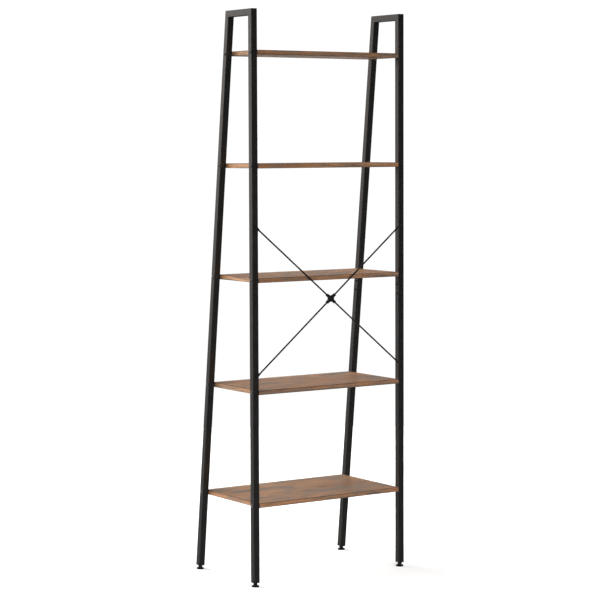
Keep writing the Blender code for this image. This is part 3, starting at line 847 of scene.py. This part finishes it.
class Tree:
    """A short way to lay out a material's nodes."""

    def __init__(self, material):
        material.use_nodes = True
        self.tree = material.node_tree
        self.shader = self.tree.nodes["Principled BSDF"]

    def node(self, kind, **settings):
        made = self.tree.nodes.new(kind)
        for name, value in settings.items():
            setattr(made, name, value)
        return made

    def put(self, target, value):
        """Gives a socket a link or a plain value."""
        if isinstance(value, bpy.types.NodeSocket):
            self.tree.links.new(value, target)
        else:
            target.default_value = value

    def place(self):
        """Position in the object's own frame, in metres."""
        return self.node("ShaderNodeTexCoord").outputs["Object"]

    def wear(self):
        """Each tube's share of rubbed paint, highest along its corners."""
        return self.node("ShaderNodeAttribute", attribute_name="wear").outputs["Fac"]

    def scaled(self, vector, scale, offset=(0, 0, 0)):
        made = self.node("ShaderNodeMapping")
        self.put(made.inputs["Vector"], vector)
        made.inputs["Scale"].default_value = scale
        made.inputs["Location"].default_value = offset
        return made.outputs["Vector"]

    def split(self, vector):
        made = self.node("ShaderNodeSeparateXYZ")
        self.put(made.inputs["Vector"], vector)
        return made.outputs["X"], made.outputs["Y"], made.outputs["Z"]

    def joined(self, x, y, z):
        made = self.node("ShaderNodeCombineXYZ")
        for target, value in zip(made.inputs, (x, y, z)):
            self.put(target, value)
        return made.outputs["Vector"]

    def noise(self, vector, scale=1.0, detail=3.0, roughness=0.5, distortion=0.0):
        made = self.node("ShaderNodeTexNoise")
        self.put(made.inputs["Vector"], vector)
        made.inputs["Scale"].default_value = scale
        made.inputs["Detail"].default_value = detail
        made.inputs["Roughness"].default_value = roughness
        made.inputs["Distortion"].default_value = distortion
        return made.outputs["Fac"]

    def cells(self, vector):
        """Distance to the nearest of a scatter of points."""
        made = self.node("ShaderNodeTexVoronoi", feature="F1")
        self.put(made.inputs["Vector"], vector)
        made.inputs["Scale"].default_value = 1.0
        return made.outputs["Distance"]

    def math(self, operation, a, b=0.0):
        made = self.node("ShaderNodeMath", operation=operation)
        self.put(made.inputs[0], a)
        self.put(made.inputs[1], b)
        return made.outputs[0]

    def ramp(self, value, stops):
        """A colour ramp from (position, colour) stops; a bare number is a grey."""
        made = self.node("ShaderNodeValToRGB")
        self.put(made.inputs["Fac"], value)
        elements, stops = made.color_ramp.elements, list(stops)
        while len(elements) < len(stops):
            elements.new(0.5)
        for element, (position, color) in zip(elements, stops):
            element.position = position
            element.color = (color,) * 3 + (1,) if isinstance(color, (int, float)) else (*color, 1)
        return made.outputs["Color"]

    def mix(self, factor, a, b, blend="MIX"):
        made = self.node("ShaderNodeMix", data_type="RGBA", blend_type=blend)
        self.put(made.inputs["Factor"], factor)
        self.put(made.inputs[6], a if isinstance(a, bpy.types.NodeSocket) else (*a, 1))
        self.put(made.inputs[7], b if isinstance(b, bpy.types.NodeSocket) else (*b, 1))
        return made.outputs[2]

    def range(self, value, low, high):
        """Maps 0..1 to low..high."""
        made = self.node("ShaderNodeMapRange")
        self.put(made.inputs["Value"], value)
        made.inputs["To Min"].default_value = low
        made.inputs["To Max"].default_value = high
        return made.outputs["Result"]

    def bump(self, height, distance, strength=1.0, normal=None):
        made = self.node("ShaderNodeBump")
        self.put(made.inputs["Height"], height)
        made.inputs["Distance"].default_value = distance
        made.inputs["Strength"].default_value = strength
        if normal is not None:
            self.put(made.inputs["Normal"], normal)
        return made.outputs["Normal"]

    def finish(self, color, roughness, normal, specular=0.5):
        self.put(self.shader.inputs["Base Color"], color)
        self.put(self.shader.inputs["Roughness"], roughness)
        self.put(self.shader.inputs["Normal"], normal)
        self.shader.inputs["Specular IOR Level"].default_value = specular


# ---------------------------------------------------------------- materials


def powder_coat():
    """Charcoal powder coat: a fine orange peel, faint mottling, and corners rubbed smoother and paler."""
    material = bpy.data.materials.new("powder_coated_steel")
    t = Tree(material)
    place = t.place()
    mottle = t.noise(place, scale=34, detail=4, roughness=0.6)
    grains = t.noise(place, scale=1500, detail=2)
    peel = t.noise(place, scale=620, detail=3, roughness=0.55)
    rubbed = t.noise(t.scaled(place, (60, 60, 9)), detail=5, roughness=0.65)
    worn = t.math("MULTIPLY", t.wear(), t.ramp(rubbed, [(0.45, 0.0), (0.62, 1.0)]))
    color = t.ramp(mottle, zip((0.30, 0.70), PAINT))
    color = t.mix(1.0, color, t.ramp(grains, [(0.35, 0.82), (0.70, 1.15)]), "MULTIPLY")
    color = t.mix(t.math("MULTIPLY", worn, 0.55), color, RUBBED_PAINT)
    roughness = t.math("SUBTRACT", t.range(rubbed, 0.30, 0.42), t.math("MULTIPLY", worn, 0.08))
    normal = t.bump(peel, 0.00006, 0.6)
    normal = t.bump(grains, 0.00002, 0.5, normal)
    t.finish(color, roughness, normal, specular=0.6)
    return material


def plated(name, tones):
    """Dark plated screws and bolts, with worn spots."""
    material = bpy.data.materials.new(name)
    t = Tree(material)
    place = t.place()
    patches = t.noise(place, scale=420, detail=4)
    fine = t.noise(place, scale=3200, detail=2)
    color = t.ramp(patches, zip((0.35, 0.72), tones))
    t.finish(color, t.range(patches, 0.30, 0.48), t.bump(fine, 0.00001, 0.4))
    return material


def moulded_black():
    """Moulded black plastic with a fine spark-eroded grain."""
    material = bpy.data.materials.new("moulded_black_plastic")
    t = Tree(material)
    place = t.place()
    grain = t.noise(place, scale=2200, detail=3)
    cloud = t.noise(place, scale=160, detail=3)
    color = t.ramp(cloud, zip((0.35, 0.70), BLACK_PLASTIC))
    t.finish(color, t.range(cloud, 0.38, 0.54), t.bump(grain, 0.00003, 0.5))
    return material


def grain_turned(t, place):
    """Position with the grain turned to run along a board's ends."""
    facing = t.node("ShaderNodeNewGeometry").outputs["True Normal"]
    on_end = t.math("GREATER_THAN", t.math("ABSOLUTE", t.split(facing)[0]), 0.7)
    x, y, z = t.split(place)
    made = t.node("ShaderNodeMix", data_type="VECTOR")
    t.put(made.inputs["Factor"], on_end)
    t.put(made.inputs[4], place)
    t.put(made.inputs[5], t.joined(y, x, z))
    return made.outputs[1]


def from_edge(t, place, half):
    """Distance to the nearest edge of a box for a point on its surface."""
    a, b, c = (
        t.math("SUBTRACT", extent, t.math("ABSOLUTE", part)) for extent, part in zip(half, t.split(place))
    )
    middle_one = t.math("MINIMUM", t.math("MAXIMUM", a, b), c)
    return t.math("MAXIMUM", t.math("MINIMUM", a, b), middle_one)


def rustic_print(name, seed, half, across_z, tint):
    """Rustic brown wood print: wavy rings about knots, streaks, smoky patches, cracks, and dark edges of
    painted shade and glue seam.
    """
    material = bpy.data.materials.new(name)
    t = Tree(material)
    place = t.place()
    grain = grain_turned(t, place)
    shift = (seed * 3.17, seed * 1.73, seed * 0.91)

    def stretched(along, across, **settings):
        return t.noise(t.scaled(grain, (along, across, across * across_z), shift), **settings)

    broad = stretched(2.1, 8, detail=3, roughness=0.5, distortion=0.6)
    smoke = stretched(7.5, 27, detail=5, roughness=0.62, distortion=1.1)
    streaks = stretched(3.0, 46, detail=5, roughness=0.6, distortion=0.5)
    lines = stretched(5.0, 170, detail=4, roughness=0.6, distortion=0.3)
    blotches = stretched(13, 62, detail=3, roughness=0.6, distortion=0.8)
    fibres = stretched(16, 560, detail=3, roughness=0.6)
    cracks = stretched(2.6, 58, detail=4, roughness=0.5, distortion=0.45)
    saw = t.noise(t.scaled(grain, (360, 14, 14), shift), detail=2, roughness=0.6)

    knot = t.cells(t.scaled(grain, (3.1, 10, 10 * across_z), shift))
    pull = t.ramp(knot, [(0.0, 1.0), (0.42, 0.0)])
    wave = stretched(1.5, 5, detail=2)
    phase = t.math("MULTIPLY", t.split(grain)[1], 420)
    phase = t.math("ADD", phase, t.math("MULTIPLY", wave, 52))
    phase = t.math("ADD", phase, t.math("MULTIPLY", pull, 26))
    rings = t.range(t.math("SINE", phase), 0.40, 0.60)

    tone = t.math("ADD", t.math("MULTIPLY", streaks, 0.36), t.math("MULTIPLY", lines, 0.18))
    tone = t.math("ADD", tone, t.math("MULTIPLY", broad, 0.28))
    tone = t.math("ADD", tone, t.math("MULTIPLY", rings, 0.18))
    color = t.ramp(tone, zip(WOOD_STOPS, WOOD))
    smoky = t.ramp(smoke, [(0.47, 0.0), (0.57, 1.0)])
    color = t.mix(t.math("MULTIPLY", smoky, 0.86), color, SMOKE)
    dark = t.ramp(blotches, [(0.61, 0.0), (0.72, 0.55)])
    color = t.mix(dark, color, BLOTCH)
    crack = t.ramp(cracks, [(0.474, 0.0), (0.493, 1.0), (0.500, 1.0), (0.519, 0.0)])
    crack = t.math("MULTIPLY", crack, t.ramp(smoke, [(0.42, 0.0), (0.60, 0.75)]))
    color = t.mix(crack, color, CRACK)
    eye = t.ramp(knot, [(0.030, 0.85), (0.085, 0.0)])
    color = t.mix(eye, color, KNOT)
    color = t.mix(1.0, color, t.ramp(fibres, [(0.30, 0.84), (0.70, 1.13)]), "MULTIPLY")
    color = t.mix(1.0, color, t.ramp(saw, [(0.34, 0.92), (0.52, 1.03)]), "MULTIPLY")
    # For the end bands this tint is painted light, growing from the bottom board up.
    color = t.mix(1.0, color, tint, "MULTIPLY")
    # Painted shade along every edge of the board, together with the dark glue seam of its bands.
    ragged = t.math("MULTIPLY", t.math("SUBTRACT", blotches, 0.5), EDGE_RAGGED)
    seam_and_shade_share = t.math("DIVIDE", t.math("ADD", from_edge(t, place, half), ragged), EDGE_DARK)
    color = t.mix(t.ramp(seam_and_shade_share, [(0.45, 0.85), (1.0, 0.0)]), color, EDGE_SEAM_AND_SHADE)

    normal = t.bump(fibres, 0.00008, 0.35)
    normal = t.bump(saw, 0.00005, 0.25, normal)
    normal = t.bump(t.math("SUBTRACT", 1.0, crack), 0.00014, 0.5, normal)
    t.finish(color, t.range(streaks, 0.27, 0.42), normal)
    return material


def make_shelf():
    """Every visible piece, in its finish. The splice sleeves stay as the frame has them."""
    steel, plastic = powder_coat(), moulded_black()
    black_screws, grey_bolts = plated("black_oxide", BLACK_OXIDE), plated("dark_zinc", DARK_ZINC)
    for seed, (board, end_light) in enumerate(zip(BOARDS, END_PAINTED_LIGHT), start=1):
        low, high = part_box(board)
        half = (high - low) / 2
        panel = rustic_print(f"rustic_panel_{seed}", seed, half, 1.0, PANEL_TINT)
        edges = rustic_print(f"rustic_edge_{seed}", seed + EDGE_SEED, half, BAND_PRINT_SCALE, EDGE_TINT)
        # The end bands carry the painted light of their board's height in their tint.
        ends = rustic_print(f"rustic_end_lit_{seed}", seed + END_SEED, half, BAND_PRINT_SCALE, end_light)
        make_board(board, panel, edges, ends)
    for side in SIDES:
        make_upper_frame(side, steel)
        for post in POSTS:
            make_lower_post(side, post, steel)
            frame["nodes"][f"splice_sleeve_{post}_{side}"].material_slots[0].material = steel
    make_fasteners(grey_bolts, black_screws)
    make_brace(steel, plastic)
    make_feet(plastic, black_screws)


# ---------------------------------------------------------------- studio


def make_floor():
    """A pale floor that always lies under the lowest foot."""
    bpy.ops.mesh.primitive_circle_add(vertices=FLOOR_STEPS, radius=FLOOR_RADIUS, fill_type="NGON")
    floor = bpy.context.object
    floor.name = "floor"
    floor.visible_glossy = False
    material = bpy.data.materials.new("pale_floor")
    material.use_nodes = True
    shader = material.node_tree.nodes["Principled BSDF"]
    shader.inputs["Base Color"].default_value = FLOOR_COLOR
    shader.inputs["Roughness"].default_value = FLOOR_ROUGHNESS
    shader.inputs["Specular IOR Level"].default_value = FLOOR_SPECULAR
    floor.data.materials.append(material)
    for side in SIDES:
        for post in POSTS:
            lowest = floor.constraints.new("FLOOR")
            lowest.target = frame["nodes"][f"foot_pad_{post}_{side}"].parent
            lowest.floor_location = "FLOOR_NEGATIVE_Z"


def make_lights():
    """Three wide, soft lights, so that the boards hardly shade one another."""
    for name, (strength, width, lean, turn) in LIGHTS.items():
        data = bpy.data.lights.new(name, "SUN")
        data.energy = strength
        data.angle = math.radians(width)
        place = Matrix.Rotation(math.radians(turn), 4, "Z") @ Matrix.Rotation(math.radians(lean), 4, "X")
        linked(name, data, place).visible_glossy = False


def make_world():
    """White where the camera sees it. All other light sees a warm screen, a dim room and a pale far floor."""
    world = bpy.data.worlds.new("studio")
    bpy.context.scene.world = world
    world.use_nodes = True
    nodes, links = world.node_tree.nodes, world.node_tree.links
    nodes.clear()
    direction = nodes.new("ShaderNodeTexCoord").outputs["Generated"]
    height = nodes.new("ShaderNodeSeparateXYZ")
    links.new(direction, height.inputs["Vector"])

    def facing(side):
        made = nodes.new("ShaderNodeVectorMath")
        made.operation = "DOT_PRODUCT"
        links.new(direction, made.inputs[0])
        made.inputs[1].default_value = side
        return made.outputs["Value"]

    def faded(value, low, high, start=0.0, end=1.0):
        made = nodes.new("ShaderNodeMapRange")
        made.interpolation_type = "SMOOTHSTEP"
        links.new(value, made.inputs["Value"])
        for name, number in zip(("From Min", "From Max", "To Min", "To Max"), (low, high, start, end)):
            made.inputs[name].default_value = number
        return made.outputs["Result"]

    def combined(operation, a, b):
        made = nodes.new("ShaderNodeMath")
        made.operation = operation
        links.new(a, made.inputs[0])
        links.new(b, made.inputs[1])
        return made.outputs[0]

    elevation = height.outputs["Z"]
    screen = combined("MULTIPLY", faded(facing(KEY_SIDE), *KEY_EDGE), faded(elevation, *KEY_FOOT))
    room = faded(facing((0, -1, 0)), *ROOM_EDGE, ROOM_DIM, ROOM_PALE)
    glow = faded(elevation, *GLOW_FOOT, 0, GLOW_STRENGTH)
    key = faded(screen, 0, 1, 0, KEY_STRENGTH)
    color = nodes.new("ShaderNodeMix")
    color.data_type = "RGBA"
    links.new(screen, color.inputs["Factor"])
    color.inputs[6].default_value = (*ROOM_COLOR, 1)
    color.inputs[7].default_value = (*KEY_COLOR, 1)
    unseen = nodes.new("ShaderNodeBackground")
    links.new(color.outputs[2], unseen.inputs["Color"])
    links.new(combined("ADD", combined("ADD", room, glow), key), unseen.inputs["Strength"])
    seen = nodes.new("ShaderNodeBackground")
    seen.inputs["Color"].default_value = WHITE
    seen.inputs["Strength"].default_value = BACKDROP_STRENGTH
    path = nodes.new("ShaderNodeLightPath")
    mix = nodes.new("ShaderNodeMixShader")
    out = nodes.new("ShaderNodeOutputWorld")
    links.new(path.outputs["Is Camera Ray"], mix.inputs[0])
    links.new(unseen.outputs[0], mix.inputs[1])
    links.new(seen.outputs[0], mix.inputs[2])
    links.new(mix.outputs[0], out.inputs["Surface"])


def make_camera():
    data = bpy.data.cameras.new("camera")
    data.sensor_width = SENSOR
    data.lens = LENS
    data.shift_y = LENS_SHIFT
    data.clip_start = CLIP_START
    data.clip_end = CLIP_END
    turn = (
        Matrix.Rotation(math.pi - CAMERA_YAW, 4, "Z")
        @ Matrix.Rotation(math.pi / 2 - CAMERA_PITCH, 4, "X")
        @ Matrix.Rotation(CAMERA_ROLL, 4, "Z")
    )
    place = Matrix.Translation((CAMERA_ASIDE, REAR_Y + CAMERA_BEHIND, CAMERA_HEIGHT))
    bpy.context.scene.camera = linked("camera", data, place @ turn)


make_camera()
make_floor()
make_lights()
make_world()
bpy.context.scene.view_settings.view_transform = "Standard"
make_shelf()
